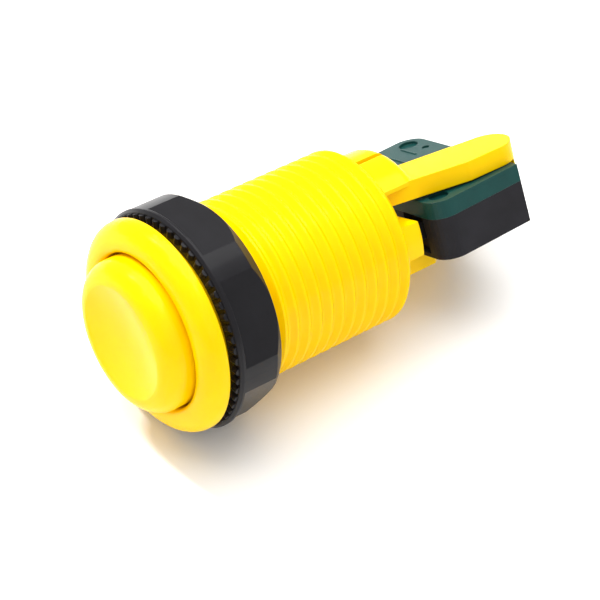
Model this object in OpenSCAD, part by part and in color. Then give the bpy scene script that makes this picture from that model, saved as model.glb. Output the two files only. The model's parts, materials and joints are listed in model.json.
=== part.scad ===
// Panel push button with a concave cap, ring nut and snap-in microswitch.
// Each piece is drawn upright: the panel's front face is z = 0, the cap points to +z, x runs along
// the switch's long side and y towards its cover. lay_down() then puts it as it rests on a table.

/* [Bezel] */
// Outer diameter of the bezel
bezel_d = 33; // [31:0.5:38]
// Height of the bezel's crest above the panel
bezel_h = 3.2; // [2.6:0.1:5]
// Straight edge of the bezel at the panel
bezel_edge = 0.4; // [0.1:0.1:0.8]
// Rounding from the crest into the mouth
bezel_lip = 0.9; // [0.5:0.1:1.6]

/* [Barrel] */
// Diameter over the thread's crests
thread_d = 28; // [27.4:0.1:29]
// Depth of the rounded thread
thread_depth = 0.8; // [0.4:0.1:1]
// Distance from crest to crest
thread_pitch = 2.1; // [1.5:0.1:3]
// Plain neck that fills the panel hole
neck_l = 1.5; // [0.8:0.1:1.5]
// Length of the barrel behind the panel face
barrel_l = 36.1; // [32:0.1:42]
// Thickness of the barrel's rear wall
rear_wall_t = 2.6; // [1.6:0.1:4]
// Wall left outside the narrow part of the bore
barrel_wall = 2.0; // [1.4:0.1:2.6]

/* [Plunger] */
// Diameter of the plunger
plunger_d = 23.7; // [22:0.1:24.2]
// Height of the plunger's rim above the panel face
plunger_h = 7.05; // [5.5:0.05:9]
// Rounding of the rim
rim_r = 3; // [1.5:0.1:4]
// Depth of the concave dish
dish_depth = 1.3; // [0.5:0.1:2.5]
// Thickness of the cap under the dish
cap_t = 2.2; // [1.5:0.1:3]
// Thickness of the skirt
skirt_t = 1.8; // [1.2:0.1:2.6]
// Length of the skirt behind the panel face
skirt_l = 14; // [8:0.5:18]
// Radial gap between plunger and mouth
plunger_gap = 0.3; // [0.2:0.05:0.5]
// Diameter of the guide stem
stem_d = 4.6; // [3:0.1:5.4]
// Play round the guide stem
stem_gap = 0.3; // [0.2:0.05:0.5]
// Distance from the axis to a leg's inner face
leg_in = 5.9; // [5.7:0.1:7]
// Thickness of a leg
leg_t = 2.2; // [1.4:0.1:2.6]
// Width of a leg
leg_w = 5.4; // [3:0.1:6.5]
// Play round a leg in its window
leg_gap = 0.3; // [0.2:0.05:0.6]
// Radius of the hooks over their outer faces
hook_r = 11.8; // [11.2:0.1:12.6]
// Length of a hook behind the barrel
hook_l = 3.9; // [3:0.1:4.4]
// Gap between a hook and the barrel's rear face
hook_gap = 0.1; // [0.05:0.05:0.3]
// Travel of the plunger
travel = 2.4; // [1.2:0.1:2.5]

/* [Return spring] */
// Wire diameter
wire_d = 0.8; // [0.5:0.1:1]
// Mean diameter of the coils
coil_d = 9.8; // [8:0.1:10.2]
// Working coils
coils = 9; // [6:1:12]
// Gap between the spring and each seat
seat_gap = 0.1; // [0.05:0.05:0.3]

/* [Ring nut] */
// Diameter over the nut's rounded corners
nut_d = 34.2; // [33.8:0.1:38]
// Width across opposite sides, as twice the distance from the axis to a flat
nut_flat_d = 31.6; // [31.2:0.1:33]
// Number of flats
nut_flats = 6; // [6:1:8]
// Length of the nut's body
nut_l = 8.1; // [5:0.1:10]
// Distance from the panel face to the nut's front face
nut_front = 1.6; // [1.6:0.1:8]
// Turn of the flats about the axis
nut_turn = 2.8; // [0:0.1:60]
// Length of the round collar in front of the flats
nut_collar_l = 0.8; // [0.6:0.1:1.5]
// Chamfer at the front rim
nut_front_bevel = 0.4; // [0.1:0.05:0.5]
// Length of the chamfer at the rear rim
nut_rear_bevel = 1.7; // [0.4:0.1:2]
// Depth of the chamfer at the rear rim
nut_rear_cut = 1.3; // [0.3:0.1:1.4]
// Radial gap between the two threads
nut_gap = 0.15; // [0.1:0.05:0.3]
// Number of gripping teeth
tooth_count = 60; // [48:1:72]
// Diameter of a tooth's rounded back
tooth_d = 1.1; // [0.8:0.05:1.15]
// Diameter over the ring of teeth
tooth_out_d = 33; // [32:0.1:33.2]
// Inner diameter of the ring of teeth
tooth_in_d = 30.6; // [29:0.1:31]

/* [Switch arms] */
// Turn of the switch about the axis, with its near end raised
switch_roll = 25.2; // [-60:0.1:60]
// Outer radius of the ribs behind the barrel
stub_r = 11.75; // [11:0.05:12.5]
// Length of the ribs
stub_l = 7.2; // [4:0.1:7.3]
// Reach of the far rib across the axis
stub_far_w = 6.5; // [5:0.1:8]
// Reach of the near rib across the axis
stub_near_w = 8.7; // [7:0.1:9]
// Rounding of the ribs' rear edge
stub_round = 1.7; // [0.3:0.1:2.2]
// Width of the slit between the ribs
slit_w = 0.9; // [0.5:0.1:1.4]
// Distance of the slit from the axis
slit_x = 2.55; // [1:0.05:4]
// Thickness of an arm
arm_t = 3; // [1.5:0.1:3.2]
// Slant of the upper arm, whose root lies closer to the axis than its tip
arm_slant = 2.4; // [0:0.1:2.6]
// Gap between an arm and the switch where they come closest
arm_gap = 0.12; // [0.05:0.01:0.3]
// Inner corner of an arm's root, measured across the axis
arm_root_in = 1.2; // [1:0.1:6]
// The same at the lower arm
low_root_in = 4.5; // [1:0.1:6]
// Length over which the lower arm keeps that width
low_straight_l = 11; // [0:0.5:12]
// Outer corner of an arm's root
arm_root_out = 6.4; // [4:0.1:8]
// Distance across the axis at which an arm's outer edge bends
arm_bend_x = 12.3; // [9:0.1:13]
// Distance behind the barrel at which it bends
arm_bend_l = 14.8; // [8:0.1:18]
// Distance of the tip's centre across the axis
arm_tip_x = 9.3; // [7:0.1:11]
// Distance of the tip's centre behind the barrel
arm_tip_l = 21.2; // [18:0.1:24]
// Radius of the rounded tip
arm_tip_r = 3.7; // [2.5:0.1:4.5]
// Depth of the snap lip at the upper arm's tip
lip_h = 1.9; // [1:0.1:3]
// Gap between the snap lip and the switch
lip_gap = 0.3; // [0.2:0.05:0.6]

/* [Microswitch] */
// Length of the switch
switch_w = 27.8; // [26:0.1:29]
// Thickness of the switch
switch_t = 9.5; // [9:0.1:10.5]
// Height of the switch along the button's axis
switch_h = 15.9; // [15:0.1:17]
// Distance from the stubs to the front of the unskewed switch
switch_gap = 0.5; // [0.4:0.05:1]
// Offset of the switch towards its cover
switch_rise = 0.33; // [0:0.01:0.6]
// Skew of the switch in the plane of its cover
switch_yaw = 4.7; // [0:0.1:5.5]
// Skew of the switch about its long side
switch_pitch = 4.2; // [0:0.1:5]
// Thickness of the cover
cover_t = 2.77; // [2:0.01:3.2]
// Rounding of the two corners at the mounting holes
corner_r = 3.3; // [2:0.1:4.5]
// Thickness of the base's floor
floor_t = 1.3; // [1:0.1:1.6]
// Thickness of the base's side walls
side_wall = 1.5; // [1:0.1:1.8]
// Thickness of the front wall that guides the pin
front_wall = 1.75; // [1.4:0.05:2]
// Mounting hole diameter
hole_d = 3.1; // [2.8:0.1:3.4]
// Distance between the mounting holes along the switch
hole_pitch_x = 22.2; // [21:0.1:23]
// Distance between the mounting holes along the axis
hole_pitch_z = 10.3; // [9.6:0.1:11]
// Diameter of the bosses round the holes
boss_d = 5.2; // [4.6:0.1:5.4]
// Depth of the round dimples in the cover
dimple_h = 0.45; // [0.1:0.05:0.8]
// Diameter of the housing's peg in the lower hole
peg_d = 2.6; // [2:0.1:2.7]
// Length of the peg inside the switch
peg_l = 2.2; // [1:0.1:4]

/* [Switch pin] */
// Distance of the pin from the switch's middle
pin_x = 6.6; // [6:0.1:6.8]
// Size of the pin along the switch
pin_w = 2.6; // [2:0.1:2.8]
// Size of the pin across the switch
pin_t = 2.8; // [2:0.1:3]
// Gap between the plunger's leg and the pin
pin_gap = 0.3; // [0.2:0.05:0.4]
// Play of the pin in its guide
pin_play = 0.1; // [0.05:0.05:0.1]
// Depth of the recess round the pin
recess_h = 0.9; // [0.5:0.1:1.1]

/* [Terminals and contacts] */
// Width of a terminal tab
tab_w = 4.8; // [4.2:0.1:5]
// Thickness of a terminal
tab_t = 0.8; // [0.6:0.1:1]
// Length of a tab outside the switch
tab_l = 6.6; // [4:0.1:8]
// Diameter of the hole in a tab
tab_hole_d = 1.6; // [1:0.1:2]
// Place of the normally closed tab along the switch
closed_tab_x = -7.4; // [-7.8:0.1:-6.8]
// Place of the normally open tab along the switch
open_tab_x = 0.6; // [0:0.1:0.9]
// Thickness of the snap blade
blade_t = 0.3; // [0.2:0.05:0.4]
// Width of the snap blade
blade_w = 3; // [2.4:0.1:3.2]
// Distance of the blade's plane in front of the switch's middle
blade_z = 2.4; // [2.2:0.1:2.6]
// Place of the blade's pivot along the switch
pivot_x = -9.4; // [-9.8:0.1:-9]
// Place of the contacts along the switch
contact_x = 1.5; // [1.2:0.1:1.8]
// Diameter of the contact heads
contact_d = 2.6; // [2:0.1:2.8]
// Height of a contact head
contact_h = 0.6; // [0.4:0.05:0.7]
// Diameter of the contact rivets' shanks
shank_d = 1.2; // [0.8:0.1:1.4]
// Gap between closed contacts
contact_gap = 0.1; // [0.05:0.05:0.2]

/* [Hidden] */
$fn = 72;
// Overlap that joins solids of one piece
eps = 0.02;

bezel_r = bezel_d / 2;
plunger_r = plunger_d / 2;
mouth_r = plunger_r + plunger_gap;
crest_r = mouth_r + bezel_lip;
thread_r = thread_d / 2;
root_r = thread_r - thread_depth;
// The bore is wide along the skirt and its travel, and narrow behind
wide_bore_l = skirt_l + travel + 1;
narrow_bore_r = min(mouth_r, root_r - barrel_wall);
bore_end = barrel_l - rear_wall_t;
stem_r = stem_d / 2;
stem_hole_r = stem_r + stem_gap;
dish_r = plunger_r - rim_r;
// Radius of the sphere that hollows the cap
dish_sphere_r = (dish_r * dish_r + dish_depth * dish_depth) / (2 * dish_depth);
cap_inside = plunger_h - dish_depth - cap_t;
hook_start = barrel_l + hook_gap;
hook_end = hook_start + hook_l;
window_out = leg_in + leg_t + leg_gap + 1.5;
nut_r = nut_d / 2;
nut_rear = nut_front + nut_l;

// The switch's own frame has its origin in the middle of the body
switch_front = barrel_l + stub_l + switch_gap;
switch_mid = switch_front + switch_h / 2;
split_y = switch_t / 2 - cover_t;
cavity_y = floor_t - switch_t / 2;
mech_y = (cavity_y + split_y) / 2;
hole_x = hole_pitch_x / 2;
hole_z = hole_pitch_z / 2;
cavity_x = switch_w / 2 - side_wall;
cavity_z_front = switch_h / 2 - front_wall;
cavity_z_rear = side_wall - switch_h / 2;
blade_y = mech_y - 0.3;

// How far the skewed switch reaches from the axis at its rear top and front bottom edges
skew_rise = switch_h / 2 * sin(switch_pitch);
arm_in_top = switch_rise + switch_t / 2 * cos(switch_pitch) + skew_rise + arm_gap;
arm_in_bottom = switch_t / 2 * cos(switch_pitch) - switch_rise + skew_rise + arm_gap;
// Place behind the panel face where the upper arm's inner face stands clear of the switch's rear edge
arm_rear = switch_mid + switch_h / 2;

// Front face of the switch at the pin, measured behind the panel face
pin_face = switch_mid - (switch_h / 2 * cos(switch_yaw) + pin_x * sin(switch_yaw)) * cos(switch_pitch);
pin_out = pin_face - hook_end - pin_gap;

// Tilt of the axis when the nut's collar and the last thread crest touch a table
crest_from_end = thread_pitch * 0.4;
collar_end = nut_front + nut_collar_l;
rest_tilt = atan((nut_r - thread_r) / (barrel_l - crest_from_end - collar_end));

// Thread flank as rings: radius at a distance u behind the panel face
thread_steps = 6;
function ring_r(u) = root_r
    + thread_depth * (1 + cos(360 * (u - barrel_l + crest_from_end) / thread_pitch)) / 2;
function ring_profile(from, to, grow) =
    let (n = max(2, round((to - from) / thread_pitch * thread_steps)))
    [for (i = [0:n]) let (u = from + (to - from) * i / n) [ring_r(u) + grow, -u]];
// Arc of an ellipse about a centre, from one angle to another
function arc(centre, rx, ry, from, to, n = 10) =
    [for (i = [0:n]) let (a = from + (to - from) * i / n) centre + [rx * cos(a), ry * sin(a)]];
// Point where a line from p touches the circle about c, on the side given by 1 or -1
function touch(p, c, r, side) = let (d = c - p, l = norm(d), a = atan2(d[1], d[0]) + side * asin(r / l))
    p + sqrt(l * l - r * r) * [cos(a), sin(a)];

// Puts an upright piece as it rests, with the axis level or falling a little to the rear
module lay_down() {
    rotate([90 - rest_tilt, 0, 0]) children();
}

// Frame in which x runs along the switch and y towards its cover
module switch_axes() {
    lay_down() rotate([0, 0, switch_roll]) children();
}

// Frame of the switch itself, with the skew it has between its arms
module in_switch() {
    translate([0, switch_rise, -switch_mid]) rotate([0, -switch_yaw, 0]) rotate([switch_pitch, 0, 0])
        children();
}

// A flat shape in x and z, drawn out from y0 to y1
module slab(y0, y1) {
    translate([0, y1, 0]) rotate([90, 0, 0]) linear_extrude(y1 - y0) children();
}

module barrel_body() {
    rotate_extrude() polygon(concat(
        arc([crest_r, bezel_h - bezel_lip], bezel_lip, bezel_lip, 180, 90, 6),
        arc([crest_r, bezel_edge], bezel_r - crest_r, bezel_h - bezel_edge, 90, 0, 12),
        [[bezel_r, 0], [thread_r, 0], [thread_r, -neck_l]],
        ring_profile(neck_l, barrel_l, 0),
        [[stem_hole_r, -barrel_l], [stem_hole_r, -bore_end], [narrow_bore_r, -bore_end],
         [narrow_bore_r, -wide_bore_l], [mouth_r, -wide_bore_l]]));
}

// Curved rib behind the barrel that stiffens an arm's root, standing on the arm from y = base
module rib(base, x0, x1) {
    intersection() {
        rotate_extrude() polygon(concat(
            [[0, -barrel_l + 1], [stub_r, -barrel_l + 1]],
            arc([stub_r - stub_round, -barrel_l - stub_l + stub_round], stub_round, stub_round, 0, -90, 6),
            [[0, -barrel_l - stub_l]]));
        translate([x0, base, -barrel_l - stub_l - 1]) cube([x1 - x0, stub_r, stub_l + 2]);
    }
}

// Outline of an arm, from its root in the barrel's rear wall to its rounded tip
module arm_outline(root_in, straight_l) {
    tip = [arm_tip_x, -barrel_l - arm_tip_l];
    bend = [arm_bend_x, -barrel_l - arm_bend_l];
    root = [-root_in, -barrel_l - straight_l];
    polygon([[-root_in, -barrel_l + 1.2], [arm_root_out, -barrel_l + 1.2], [arm_root_out, -barrel_l], bend,
        touch(bend, tip, arm_tip_r, 1), tip, touch(root, tip, arm_tip_r, -1), root]);
    translate(tip) circle(arm_tip_r);
}

// The upper arm leans outwards to the rear, so that its inner face follows the skewed switch
module upper_arm() {
    translate([0, arm_in_top, -arm_rear]) rotate([arm_slant, 0, 0]) translate([0, -arm_in_top, arm_rear]) {
        slab(arm_in_top, arm_in_top + arm_t) arm_outline(arm_root_in, 0.1);
        snap_lip();
    }
}

// Lip behind the switch, at the upper arm's tip
module snap_lip() {
    reach = switch_h / 2 * cos(switch_pitch) * cos(switch_yaw) - (arm_tip_x - arm_tip_r) * sin(switch_yaw);
    lip_z = -switch_mid - reach - lip_gap;
    intersection() {
        slab(arm_in_top - lip_h, arm_in_top + eps)
            translate([arm_tip_x, -barrel_l - arm_tip_l]) circle(arm_tip_r);
        translate([0, 0, lip_z - arm_tip_r]) cube([arm_tip_x + arm_tip_r, switch_t, arm_tip_r]);
    }
}

// Peg and its pad, which fill the lower arm's gap at the switch's rear hole
module peg() {
    face = -switch_t / 2;
    translate([-hole_x, 0, -hole_z]) {
        slab(face - arm_gap - 1.4, face - arm_gap) circle(d = boss_d - 0.6);
        slab(face - 0.5, peg_l - switch_t / 2) circle(d = peg_d);
    }
}

module housing() {
    // The ribs sink half a millimetre into the upper arm where it lies closest to the axis
    rib_base = arm_in_top - (arm_rear - barrel_l) * tan(arm_slant) + arm_t - 0.5;
    color("gold") switch_axes() difference() {
        union() {
            barrel_body();
            rib(rib_base, -stub_far_w, slit_x - slit_w / 2);
            rib(rib_base, slit_x + slit_w / 2, stub_near_w);
            upper_arm();
            rotate([0, 0, 180]) {
                rib(arm_in_bottom + arm_t - 0.5, slit_x + slit_w / 2, stub_near_w);
                slab(arm_in_bottom, arm_in_bottom + arm_t) arm_outline(low_root_in, low_straight_l);
            }
            in_switch() peg();
        }
        for (side = [0, 180]) rotate([0, 0, side])
            translate([leg_in - leg_gap, -leg_w / 2 - leg_gap, -barrel_l - eps])
                cube([window_out - leg_in + leg_gap, leg_w + 2 * leg_gap, rear_wall_t + 2 * eps]);
    }
}

// Cap, skirt and guide stem are turned shapes; the two legs end in hooks behind the barrel
module plunger() {
    dish_centre = [0, plunger_h - dish_depth + dish_sphere_r];
    dish_angle = asin(dish_r / dish_sphere_r);
    stem_end = barrel_l - rear_wall_t / 4;
    color("gold") switch_axes() union() {
        rotate_extrude() polygon(concat(
            arc(dish_centre, dish_sphere_r, dish_sphere_r, -90, -90 + dish_angle, 8),
            arc([dish_r, plunger_h - rim_r], rim_r, rim_r, 90, 0, 10),
            [[plunger_r, -skirt_l], [plunger_r - skirt_t, -skirt_l], [plunger_r - skirt_t, cap_inside],
             [stem_r, cap_inside], [stem_r, -stem_end], [0, -stem_end]]));
        for (side = [0, 180]) rotate([0, 0, side]) {
            translate([leg_in, -leg_w / 2, -hook_end]) cube([leg_t, leg_w, hook_end + cap_inside + 0.5]);
            intersection() {
                translate([leg_in, -leg_w / 2, -hook_end]) cube([hook_r, leg_w, hook_l]);
                translate([0, 0, -hook_end - 1]) cylinder(r = hook_r, h = hook_l + 2);
            }
        }
    }
}

// Round wire wound from seat to seat, with its end coils laid close
module return_spring() {
    sides = 6;
    per_turn = 16;
    n = (coils + 2) * per_turn;
    low = -bore_end + seat_gap + wire_d / 2;
    high = cap_inside - seat_gap - wire_d / 2;
    // Height along the wire: one flat turn at each end, an even pitch between them
    function rise(t) = min(max((t * (coils + 2) - 1) / coils, 0), 1);
    function spin(t) = 360 * (coils + 2) * t;
    function z_at(t) = low + wire_d * 1.1 * min(t * (coils + 2), 1)
        + (high - low - 2.2 * wire_d) * rise(t) + wire_d * 1.1 * max(t * (coils + 2) - coils - 1, 0);
    points = [for (i = [0:n]) let (t = i / n) for (j = [0:sides - 1]) let (a = 360 * j / sides)
        [(coil_d / 2 + wire_d / 2 * cos(a)) * cos(spin(t)),
         (coil_d / 2 + wire_d / 2 * cos(a)) * sin(spin(t)),
         z_at(t) + wire_d / 2 * sin(a)]];
    sides_faces = [for (i = [0:n - 1]) for (j = [0:sides - 1]) let (k = (j + 1) % sides)
        [i * sides + j, (i + 1) * sides + j, (i + 1) * sides + k, i * sides + k]];
    color("silver") switch_axes() polyhedron(points, concat(sides_faces,
        [[for (j = [0:sides - 1]) j], [for (j = [sides - 1:-1:0]) n * sides + j]]), convexity = 20);
}

// Shallow flats cut into a round nut behind its collar, with radial teeth on the face that grips the panel
module mounting_nut() {
    bore = ring_profile(nut_front, nut_rear, nut_gap);
    color("#2d2c30") lay_down() rotate([0, 0, nut_turn]) union() {
        difference() {
            rotate_extrude() polygon(concat(
                [[nut_r - nut_front_bevel, -nut_front], [nut_r, -nut_front - nut_front_bevel],
                 [nut_r, -nut_rear + nut_rear_bevel], [nut_r - nut_rear_cut, -nut_rear]],
                [for (i = [len(bore) - 1:-1:0]) bore[i]]));
            for (i = [0:nut_flats - 1]) rotate([0, 0, 360 * (i + 0.5) / nut_flats])
                translate([nut_flat_d / 2, -nut_r, -nut_rear - 1])
                    cube([nut_r, 2 * nut_r, nut_rear + 1 - collar_end]);
        }
        for (i = [0:tooth_count - 1]) rotate([0, 0, 360 * i / tooth_count])
            translate([tooth_in_d / 2, 0, -nut_front]) rotate([0, 90, 0])
                cylinder(d = tooth_d, h = (tooth_out_d - tooth_in_d) / 2, $fn = 24);
    }
}

// Side view of the switch, with the corners at the mounting holes rounded
module switch_outline() {
    w = switch_w / 2;
    h = switch_h / 2;
    polygon(concat([[-w, h]], arc([w - corner_r, h - corner_r], corner_r, corner_r, 90, 0, 8),
        [[w, -h]], arc([-w + corner_r, -h + corner_r], corner_r, corner_r, -90, -180, 8)));
}

module hole_places() {
    for (s = [1, -1]) translate([s * hole_x, s * hole_z]) children();
}

module cavity_outline() {
    difference() {
        translate([-cavity_x, cavity_z_rear]) square([2 * cavity_x, cavity_z_front - cavity_z_rear]);
        hole_places() circle(d = boss_d);
    }
}

module switch_base() {
    slot_w = tab_w + 0.1;
    slot_t = tab_t + 0.1;
    color("#323136") switch_axes() in_switch() difference() {
        slab(-switch_t / 2, split_y) switch_outline();
        slab(cavity_y, split_y + 1) cavity_outline();
        slab(-switch_t, switch_t) hole_places() circle(d = hole_d);
        // Guide of the pin and the recess in front of it
        translate([pin_x - pin_w / 2 - pin_play, mech_y - pin_t / 2 - pin_play, cavity_z_front - 1])
            cube([pin_w + 2 * pin_play, pin_t + 2 * pin_play, front_wall + 2]);
        translate([pin_x - pin_w / 2 - 0.7, cavity_y - 0.6, switch_h / 2 - recess_h])
            cube([pin_w + 2.4, switch_t, recess_h + 1]);
        // Slots for the terminals
        for (x = [closed_tab_x, open_tab_x])
            translate([x - slot_t / 2, mech_y - slot_w / 2, -switch_h / 2 - 1])
                cube([slot_t, slot_w, side_wall + 2]);
        translate([-switch_w / 2 - 1, mech_y - slot_w / 2, blade_z - blade_t / 2 - 0.5 - slot_t])
            cube([side_wall + 2, slot_w, slot_t]);
    }
}

module switch_cover() {
    mark_d = 1.2;
    color("#27504e") switch_axes() in_switch() difference() {
        slab(split_y, switch_t / 2) switch_outline();
        // The mounting holes end under the cover, which shows a round dimple over each
        slab(switch_t / 2 - dimple_h, switch_t) hole_places() circle(d = hole_d);
        // Shallow round marks over the terminals
        for (x = [closed_tab_x, open_tab_x])
            slab(switch_t / 2 - 0.3, switch_t) translate([x, 2 - switch_h / 2]) circle(d = mark_d);
    }
}

// Pin with a rounded tip outside and a stop collar inside, ending in a rounded foot on the blade
module switch_pin() {
    foot_r = 0.8;
    collar = 0.35;
    foot_z = blade_z + blade_t / 2 + 0.15;
    tip_z = switch_h / 2 + pin_out;
    color("white") switch_axes() in_switch() translate([pin_x, mech_y, 0]) union() {
        translate([-pin_w / 2, -pin_t / 2, foot_z + 1]) cube([pin_w, pin_t, tip_z - foot_z - 1 - pin_w / 3]);
        intersection() {
            translate([-pin_w / 2, -pin_t / 2, tip_z - pin_w / 2]) cube([pin_w, pin_t, pin_w / 2]);
            slab(-pin_t / 2, pin_t / 2) translate([0, tip_z - pin_w * 0.7]) circle(pin_w * 0.7);
        }
        translate([-pin_w / 2 - collar, -pin_t / 2 - collar, cavity_z_front - pin_play - 1.2])
            cube([pin_w + 2 * collar, pin_t + 2 * collar, 1.2]);
        slab(-pin_t / 2, pin_t / 2) translate([0, foot_z + foot_r]) circle(foot_r);
    }
}

// Snap blade with its bowed tongue, which turns about the pivot on the common terminal
module snap_blade() {
    tip_x = pin_x + 1.3;
    tongue_w = blade_w / 3;
    tongue_from = pivot_x + 2.4;
    tongue_to = contact_x - contact_d / 2 - 0.8;
    bow = 0.7;
    half = (tongue_to - tongue_from) / 2;
    bow_r = (half * half + bow * bow) / (2 * bow);
    color("peru") switch_axes() in_switch() difference() {
        union() {
            translate([pivot_x, blade_y - blade_w / 2, blade_z - blade_t / 2])
                cube([tip_x - pivot_x, blade_w, blade_t]);
            intersection() {
                translate([tongue_from, blade_y - tongue_w / 2, blade_z - bow - blade_t])
                    cube([2 * half, tongue_w, bow + blade_t]);
                slab(blade_y - tongue_w / 2, blade_y + tongue_w / 2)
                    translate([tongue_from + half, blade_z - bow + bow_r]) difference() {
                        circle(bow_r + blade_t / 2);
                        circle(bow_r - blade_t / 2);
                    }
            }
        }
        translate([contact_x, blade_y, 0]) cylinder(d = shank_d + 0.04, h = 2 * blade_z);
        // Windows each side of the tongue
        for (s = [1, -1])
            translate([tongue_from, blade_y + s * (tongue_w + blade_w / 6) / 2 - 0.15, blade_z - 1])
                cube([2 * half, 0.3, 2]);
    }
}

// A contact: a head on a shank, from z upwards
module contact(z, shank_l) {
    translate([contact_x, blade_y, z]) {
        cylinder(d = contact_d, h = contact_h);
        translate([0, 0, -shank_l]) cylinder(d = shank_d, h = shank_l + eps);
    }
}

module moving_contact() {
    color("silver") switch_axes() in_switch() translate([contact_x, blade_y, blade_z]) union() {
        for (s = [1, -1]) translate([0, 0, s * (blade_t + contact_h) / 2])
            cylinder(d = contact_d, h = contact_h, center = true);
        cylinder(d = shank_d, h = blade_t + 2 * eps, center = true);
    }
}

// Rear face of the fixed contact in front of the blade, and front face of the one behind it
closed_face = blade_z + blade_t / 2 + contact_h + contact_gap;
swing = asin(travel / (pin_x - pivot_x));
open_face = blade_z - blade_t / 2 - contact_h - (contact_x + contact_d / 2 - pivot_x) * sin(swing) - 0.1;

module normally_closed_contact() {
    color("silver") switch_axes() in_switch() translate([0, 0, closed_face]) mirror([0, 0, 1])
        translate([0, 0, -contact_h]) contact(0, tab_t);
}

module normally_open_contact() {
    color("silver") switch_axes() in_switch() contact(open_face - contact_h, tab_t);
}

// Flat tab with a hole and bevelled corners, reaching from the switch's edge outwards and in to root
module tab_shape(root) {
    difference() {
        polygon([[root, -tab_w / 2], [root, tab_w / 2], [1 - tab_l, tab_w / 2], [-tab_l, tab_w / 2 - 1],
            [-tab_l, 1 - tab_w / 2], [1 - tab_l, -tab_w / 2]]);
        translate([-tab_l / 2, 0]) circle(d = tab_hole_d);
    }
}

module rear_tab(x, top) {
    translate([x + tab_t / 2, mech_y, -switch_h / 2]) rotate([0, -90, 0]) linear_extrude(tab_t)
        tab_shape(top + switch_h / 2);
}

// Strip that carries a fixed contact, with the hole for its shank
module contact_strip(x0, x1, z) {
    difference() {
        translate([x0, blade_y - blade_w / 2, z]) cube([x1 - x0, blade_w, tab_t]);
        translate([contact_x, blade_y, z - 1]) cylinder(d = shank_d + 0.04, h = tab_t + 2);
    }
}

module normally_open_terminal() {
    strip_z = open_face - contact_h - tab_t;
    color("#b9b4a6") switch_axes() in_switch() union() {
        rear_tab(open_tab_x, strip_z + eps);
        contact_strip(open_tab_x - tab_t / 2, contact_x + contact_d / 2 + 0.3, strip_z);
    }
}

module normally_closed_terminal() {
    strip_z = closed_face + contact_h;
    // The riser passes beside the blade, under the cover
    riser_y = blade_y + blade_w / 2 + 0.3;
    color("#b9b4a6") switch_axes() in_switch() union() {
        rear_tab(closed_tab_x, -hole_z + boss_d / 2);
        translate([closed_tab_x - tab_t / 2, riser_y, -hole_z])
            cube([tab_t, split_y - 0.1 - riser_y, strip_z + tab_t + hole_z]);
        translate([closed_tab_x - tab_t / 2, blade_y - eps, strip_z])
            cube([tab_t, split_y - 0.1 - blade_y, tab_t]);
        contact_strip(closed_tab_x - tab_t / 2, contact_x + contact_d / 2 + 0.3, strip_z);
    }
}

// Tab at the switch's far end, whose inner edge is the blade's pivot
module common_terminal() {
    top = blade_z - blade_t / 2 - 0.55;
    color("#b9b4a6") switch_axes() in_switch() union() {
        translate([-switch_w / 2, mech_y, top - tab_t]) linear_extrude(tab_t)
            tab_shape(pivot_x + 0.8 + switch_w / 2);
        translate([pivot_x - 0.2, blade_y - blade_w / 2, top - eps]) cube([0.6, blade_w, 0.45 + eps]);
    }
}

housing();
plunger();
return_spring();
mounting_nut();
switch_base();
switch_cover();
switch_pin();
snap_blade();
moving_contact();
common_terminal();
normally_open_terminal();
normally_closed_terminal();
normally_open_contact();
normally_closed_contact();
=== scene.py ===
import json
import math
import bmesh
import bpy
from mathutils import Matrix, Vector


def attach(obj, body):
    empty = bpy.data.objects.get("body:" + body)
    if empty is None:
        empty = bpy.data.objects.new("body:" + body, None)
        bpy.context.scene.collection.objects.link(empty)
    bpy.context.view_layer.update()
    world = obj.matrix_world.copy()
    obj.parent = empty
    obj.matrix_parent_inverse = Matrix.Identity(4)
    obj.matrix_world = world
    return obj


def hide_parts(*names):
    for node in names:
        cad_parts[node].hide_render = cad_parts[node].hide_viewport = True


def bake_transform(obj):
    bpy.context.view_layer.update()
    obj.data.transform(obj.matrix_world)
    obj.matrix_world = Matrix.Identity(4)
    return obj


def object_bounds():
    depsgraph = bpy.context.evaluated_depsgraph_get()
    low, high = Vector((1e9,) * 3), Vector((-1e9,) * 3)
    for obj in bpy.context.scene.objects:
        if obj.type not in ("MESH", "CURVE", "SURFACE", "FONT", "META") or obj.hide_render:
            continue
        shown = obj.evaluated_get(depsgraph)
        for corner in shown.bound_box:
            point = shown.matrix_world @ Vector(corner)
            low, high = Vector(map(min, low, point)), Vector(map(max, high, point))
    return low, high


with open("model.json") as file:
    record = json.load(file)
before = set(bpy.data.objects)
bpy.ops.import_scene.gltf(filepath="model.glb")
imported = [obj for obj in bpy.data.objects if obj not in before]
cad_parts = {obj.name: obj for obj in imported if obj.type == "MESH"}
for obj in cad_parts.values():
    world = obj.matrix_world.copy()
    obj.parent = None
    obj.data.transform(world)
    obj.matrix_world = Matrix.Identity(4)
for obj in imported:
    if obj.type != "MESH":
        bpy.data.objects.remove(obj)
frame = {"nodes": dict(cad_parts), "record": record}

cad_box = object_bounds()
scene = bpy.context.scene
scene.view_settings.view_transform = "Standard"
scene.view_settings.look = "None"


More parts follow.
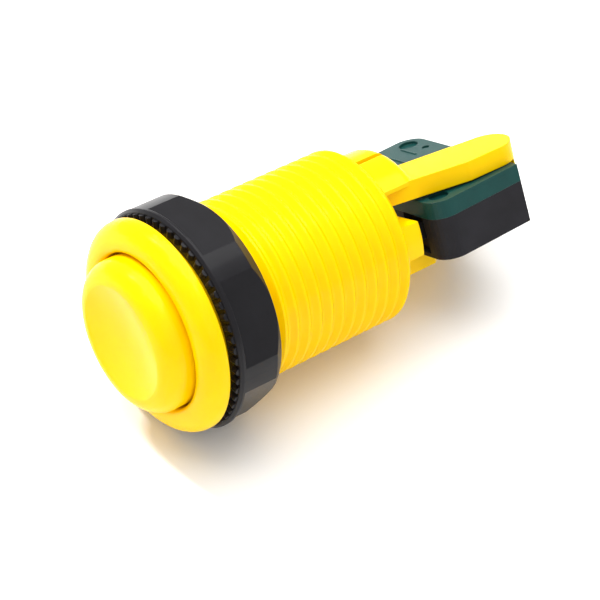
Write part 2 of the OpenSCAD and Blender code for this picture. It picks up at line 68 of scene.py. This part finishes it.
class Nodes:
    """Short hand for building a node material around its Principled shader."""

    def __init__(self, name):
        self.mat = bpy.data.materials.new(name)
        self.mat.use_nodes = True
        self.tree = self.mat.node_tree
        self.bsdf = self.tree.nodes["Principled BSDF"]

    def add(self, kind, **values):
        """New node. Each value goes to the input of that name, or else to the node's own setting."""
        n = self.tree.nodes.new(kind)
        for k, v in values.items():
            if k in n.inputs:
                n.inputs[k].default_value = v
            else:
                setattr(n, k, v)
        return n

    def link(self, a, out, b, into):
        self.tree.links.new(a.outputs[out], b.inputs[into])

    def set(self, **values):
        for k, v in values.items():
            self.bsdf.inputs[k.replace("_", " ")].default_value = v

    def noise(self, source, out, **values):
        """Noise texture that runs over what another node puts out."""
        n = self.add("ShaderNodeTexNoise", **values)
        self.link(source, out, n, "Vector")
        return n

    def colour(self, noise, dark, light, low=0.0, high=1.0):
        """Base colour that follows a noise from one tone to the other."""
        ramp = self.add("ShaderNodeValToRGB")
        for end, tone, position in zip(ramp.color_ramp.elements, (dark, light), (low, high)):
            end.color = tone
            end.position = position
        self.link(noise, "Fac", ramp, "Fac")
        self.link(ramp, "Color", self.bsdf, "Base Color")

    def gloss(self, noise, low, high):
        """Roughness that follows a noise between two values."""
        span = self.add("ShaderNodeMapRange")
        span.inputs["To Min"].default_value = low
        span.inputs["To Max"].default_value = high
        self.link(noise, "Fac", span, "Value")
        self.link(span, "Result", self.bsdf, "Roughness")

    def bump(self, noise, **values):
        """Small relief in the surface, from a noise. The caller may link softened edges into it."""
        relief = self.add("ShaderNodeBump", **values)
        self.link(noise, "Fac", relief, "Height")
        self.link(relief, "Normal", self.bsdf, "Normal")
        return relief


# Softened edges of the plastics: radius in metres and samples
EDGE_R = 0.0002
EDGE_SAMPLES = 4
# Scales of the plastics' colour drift, uneven gloss and surface grain, and how far the gloss wanders
DRIFT_SCALE = 260.0
SMEAR_SCALE = 1040.0
GRAIN_SCALE = 9000.0
PLASTIC_GLOSS_SPREAD = 0.04


def plastic(name, light, dark, rough, shine, coat=0.0, grain=0.00002, glow=0.0):
    """Moulded plastic: slow colour drift of the melt, fine grain, uneven gloss and softened edges."""
    m = Nodes(name)
    where = m.add("ShaderNodeTexCoord")
    drift = m.noise(where, "Object", Scale=DRIFT_SCALE, Detail=3.0, Roughness=0.5)
    m.colour(drift, dark, light, low=0.3, high=0.7)
    smear = m.noise(where, "Object", Scale=SMEAR_SCALE, Detail=4.0, Roughness=0.6)
    m.gloss(smear, rough - PLASTIC_GLOSS_SPREAD, rough + PLASTIC_GLOSS_SPREAD)
    fine = m.noise(where, "Object", Scale=GRAIN_SCALE, Detail=2.0)
    relief = m.bump(fine, Strength=0.5, Distance=grain)
    soft = m.add("ShaderNodeBevel", Radius=EDGE_R, samples=EDGE_SAMPLES)
    m.link(soft, "Normal", relief, "Normal")
    m.set(IOR=1.5, Coat_Weight=coat, Coat_Roughness=0.08, Specular_IOR_Level=shine)
    if glow:
        m.set(Subsurface_Weight=glow, Subsurface_Scale=0.0012, Subsurface_Radius=(1.0, 0.55, 0.03))
    return m.mat


# Metals: stretch of the drawn lines, scales of the lines and of the stains, and how far the gloss
# goes below and above its middle
LINE_STRETCH = (1, 1, 12)
LINE_SCALE = 900.0
STAIN_SCALE = 300.0
METAL_GLOSS_BELOW = 0.08
METAL_GLOSS_ABOVE = 0.1


def metal(name, light, dark, rough):
    """Rolled or drawn metal with fine lines along one direction and slight staining."""
    m = Nodes(name)
    where = m.add("ShaderNodeTexCoord")
    scale = m.add("ShaderNodeMapping", Scale=LINE_STRETCH)
    m.link(where, "Object", scale, "Vector")
    lines = m.noise(scale, "Vector", Scale=LINE_SCALE, Detail=5.0, Roughness=0.65)
    stain = m.noise(where, "Object", Scale=STAIN_SCALE, Detail=3.0)
    m.colour(stain, dark, light)
    m.gloss(lines, rough - METAL_GLOSS_BELOW, rough + METAL_GLOSS_ABOVE)
    m.bump(lines, Strength=0.4, Distance=0.00001)
    m.set(Metallic=1.0)
    return m.mat


YELLOW = plastic("yellow_plastic", (0.94, 0.60, 0.0, 1), (0.92, 0.57, 0.0, 1), 0.2, shine=0.03,
                 coat=0.16, grain=0.000004, glow=0.1)
CHARCOAL = plastic("charcoal_plastic", (0.0105, 0.010, 0.012, 1), (0.0085, 0.008, 0.0095, 1), 0.34,
                   shine=0.14, coat=0.08, grain=0.000008)
# Black plastic of the switch's base, which the switch's pin also takes as painted shade of the slot that it
# is seen through
BLACK_AND_SLOT_SHADE = plastic("black_plastic", (0.016, 0.0155, 0.019, 1), (0.012, 0.0115, 0.014, 1), 0.5, shine=0.14)
GREEN = plastic("green_plastic", (0.005, 0.052, 0.047, 1), (0.004, 0.044, 0.040, 1), 0.36, shine=0.2)
STEEL = metal("terminal_metal", (0.66, 0.63, 0.56, 1), (0.52, 0.50, 0.44, 1), 0.32)
BRONZE = metal("spring_bronze", (0.75, 0.5, 0.3, 1), (0.6, 0.4, 0.22, 1), 0.3)
SILVER = metal("contact_silver", (0.88, 0.87, 0.85, 1), (0.75, 0.74, 0.72, 1), 0.2)
WIRE = metal("spring_steel", (0.6, 0.6, 0.6, 1), (0.45, 0.45, 0.45, 1), 0.3)

FINISH = {
    "housing": YELLOW,
    "plunger": YELLOW,
    "return_spring": WIRE,
    "mounting_nut": CHARCOAL,
    "switch_base": BLACK_AND_SLOT_SHADE,
    "switch_cover": GREEN,
    # Painted shade: the pin, seen through a slot, takes the black plastic so that it reads as the dark slot
    "switch_pin": BLACK_AND_SLOT_SHADE,
    "snap_blade": BRONZE,
    "moving_contact": SILVER,
    "normally_open_contact": SILVER,
    "normally_closed_contact": SILVER,
    "common_terminal": STEEL,
    "normally_open_terminal": STEEL,
    "normally_closed_terminal": STEEL,
}
for name, material in FINISH.items():
    node = frame["nodes"][name]
    if not node.material_slots:
        node.data.materials.append(material)
    for entry in node.material_slots:
        entry.material = material

# Millimetres in a metre. The frame is in metres
PER_METRE = 1000


def mount_axis(name):
    """Axis of one of the record's mounts."""
    return Vector(next(m["axis"] for m in frame["record"]["mounts"] if m["name"] == name))


def add_piece(name, work, material):
    """Turns a finished bmesh into an object of the scene."""
    bmesh.ops.recalc_face_normals(work, faces=work.faces)
    mesh = bpy.data.meshes.new(name)
    work.to_mesh(mesh)
    work.free()
    mesh.materials.append(material)
    piece = bpy.data.objects.new(name, mesh)
    scene.collection.objects.link(piece)
    return piece


# Generic raised bars on the switch's cover: place along and across the cover, length and width, in mm
COVER_BARS = (
    (-6.6, 0.4, 7.5, 0.35),
    (-4.2, -3.4, 2.4, 0.5),
    (-4.6, -4.6, 1.6, 0.5),
    (-8.6, 3.4, 4.0, 0.35),
)
# A bar's height over the cover and the depth that it starts at, its shoulder's share of the height,
# and its bevel
BAR_HEIGHT = 0.00012
BAR_SINK = 0.00005
BAR_SHOULDER = 0.6
BAR_BEVEL = 0.00008
# Least upward part of a face's normal, for a face that can be the cover's outer side
FACES_UP = 0.5
# Direction of the switch's long side, along which the normally open tab's hole runs
ALONG = mount_axis("normally_open_tab")


def cover_marks():
    """Thin bars with bevelled tops, laid on the cover's own flat face."""
    cover = frame["nodes"]["switch_cover"]
    place = cover.matrix_world
    turn = place.to_3x3()
    upper_faces = [face for face in cover.data.polygons if (turn @ face.normal).z > FACES_UP]
    up = (turn @ max(upper_faces, key=lambda face: face.area).normal).normalized()
    points = [place @ v.co for v in cover.data.vertices]
    top = max(point.dot(up) for point in points)
    across = up.cross(ALONG)
    low = [min(point.dot(axis) for point in points) for axis in (ALONG, across)]
    high = [max(point.dot(axis) for point in points) for axis in (ALONG, across)]
    cover_middle = ALONG * (low[0] + high[0]) / 2 + across * (low[1] + high[1]) / 2 + up * top
    work = bmesh.new()
    for shift_along, shift_across, length, width in COVER_BARS:
        spot = cover_middle + ALONG * shift_along / PER_METRE + across * shift_across / PER_METRE
        rings = []
        for lift, shrink in ((-BAR_SINK, 0.0), (BAR_HEIGHT * BAR_SHOULDER, 0.0), (BAR_HEIGHT, BAR_BEVEL)):
            half_length = length / 2 / PER_METRE - shrink
            half_width = width / 2 / PER_METRE - shrink
            rings.append([work.verts.new(spot + ALONG * i * half_length + across * j * half_width + up * lift)
                          for i, j in ((-1, -1), (1, -1), (1, 1), (-1, 1))])
        work.faces.new(rings[0][::-1])
        work.faces.new(rings[2])
        for lower, upper in zip(rings, rings[1:]):
            for i in range(4):
                j = (i + 1) % 4
                work.faces.new((lower[i], lower[j], upper[j], upper[i]))
    piece = add_piece("cover_marks", work, GREEN)
    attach(piece, "body")


cover_marks()

# Return spring: radii of the coils and of the wire in metres, working coils, steps per coil, sides of
# the wire, and the pitch of a close end coil in wire radii
COIL_R = 0.0049
WIRE_R = 0.0004
COILS = 9
STEPS = 40
WIRE_SIDES = 12
CLOSE_PITCH = 2.2
# The button's axis, from the cap to the rear
AXIS = mount_axis("panel_neck")


def spring_coil():
    """Round wire with close end coils, spanning the ends of the CAD spring, which it hides."""
    node = frame["nodes"]["return_spring"]
    reach = [(node.matrix_world @ v.co).dot(AXIS) for v in node.data.vertices]
    front = min(reach) + WIRE_R
    rear = max(reach) - WIRE_R
    # The axis lies in the y-z plane, so x is square to it
    side = Vector((1.0, 0.0, 0.0))
    other = AXIS.cross(side).normalized()
    close = CLOSE_PITCH * WIRE_R
    work = bmesh.new()
    rings = []
    for i in range((COILS + 2) * STEPS + 1):
        turn = i / STEPS
        middle_part = min(max((turn - 1) / COILS, 0), 1)
        along = rear - close * (min(turn, 1) + max(turn - COILS - 1, 0))
        along -= (rear - front - 2 * close) * middle_part
        out = side * math.cos(2 * math.pi * turn) + other * math.sin(2 * math.pi * turn)
        ring = []
        for k in range(WIRE_SIDES):
            a = 2 * math.pi * k / WIRE_SIDES
            from_axis = COIL_R + WIRE_R * math.cos(a)
            ring.append(work.verts.new(out * from_axis + AXIS * (along + WIRE_R * math.sin(a))))
        rings.append(ring)
    for first, second in zip(rings, rings[1:]):
        for k in range(WIRE_SIDES):
            j = (k + 1) % WIRE_SIDES
            work.faces.new((first[k], second[k], second[j], first[j])).smooth = True
    work.faces.new(rings[0])
    work.faces.new(rings[-1][::-1])
    piece = add_piece("spring_coil", work, WIRE)
    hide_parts("return_spring")
    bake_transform(piece)


spring_coil()

# White paper under the part: half its side, squares along it, its middle and the scale of its fibres,
# and the strength of the white light from all around
FLOOR_HALF = 1.5
FLOOR_SQUARES = 8
FLOOR_MIDDLE = (0.0, 0.03)
FIBRE_SCALE = 300.0
WORLD_STRENGTH = 0.7


def paper():
    """White matt paper with a faint change of tone."""
    m = Nodes("paper")
    fibre = m.add("ShaderNodeTexNoise", Scale=FIBRE_SCALE, Detail=4.0)
    m.colour(fibre, (0.93, 0.925, 0.915, 1), (0.95, 0.945, 0.94, 1))
    m.set(Roughness=0.7)
    return m.mat


def paper_floor():
    """Flat sheet at the bottom of the CAD box."""
    mesh = bpy.data.meshes.new("floor")
    work = bmesh.new()
    bmesh.ops.create_grid(work, x_segments=FLOOR_SQUARES, y_segments=FLOOR_SQUARES, size=FLOOR_HALF)
    work.to_mesh(mesh)
    work.free()
    mesh.materials.append(paper())
    floor = bpy.data.objects.new("floor", mesh)
    scene.collection.objects.link(floor)
    floor.location = (*FLOOR_MIDDLE, cad_box[0][2])


paper_floor()

world = bpy.data.worlds.new("studio")
scene.world = world
world.use_nodes = True
world.node_tree.nodes["Background"].inputs["Color"].default_value = (1.0, 1.0, 1.0, 1)
world.node_tree.nodes["Background"].inputs["Strength"].default_value = WORLD_STRENGTH

# The view, from the photograph: where the camera stands, where it looks and which way is right
EYE = Vector((0.19316, -0.12787, 0.23565))
AHEAD = Vector((-0.55386, 0.44005, -0.70688)).normalized()
RIGHT = Vector((0.62219, 0.78286, 0.0)).normalized()
UP = RIGHT.cross(AHEAD)
# Lens and sensor in mm, and the nearest and farthest distance that the camera sees, in metres
LENS = 137.33
SENSOR = 36.0
NEAREST = 0.01
FARTHEST = 10.0
# The spot that the lamps face
TARGET = Vector((0.0, 0.025, 0.0))


def softbox(name, place, size, watts):
    """Rectangular white lamp that faces the target."""
    lamp = bpy.data.lights.new(name, "AREA")
    lamp.shape = "RECTANGLE"
    lamp.size, lamp.size_y = size
    lamp.energy = watts
    holder = bpy.data.objects.new(name, lamp)
    scene.collection.objects.link(holder)
    holder.location = place
    holder.rotation_euler = (TARGET - place).to_track_quat("-Z", "Y").to_euler()


def photo_camera():
    """Camera at the photograph's place."""
    camera = bpy.data.cameras.new("camera")
    camera.lens = LENS
    camera.sensor_width = SENSOR
    camera.clip_start = NEAREST
    camera.clip_end = FARTHEST
    eye = bpy.data.objects.new("camera", camera)
    scene.collection.objects.link(eye)
    turn = Matrix((RIGHT, UP, -AHEAD)).transposed()
    eye.matrix_world = Matrix.Translation(EYE) @ turn.to_4x4()
    scene.camera = eye


softbox("overhead", TARGET + Vector((-0.08, 0.1, 0.6)), size=(0.7, 0.7), watts=4.6)
softbox("spark", TARGET - RIGHT * 0.30 + Vector((-0.15, 0.12, 0.42)), size=(0.04, 0.09), watts=2.2)
softbox("front_fill", TARGET + RIGHT * 0.1 + Vector((0.35, -0.25, 0.35)), size=(0.5, 0.5), watts=0.35)
photo_camera()
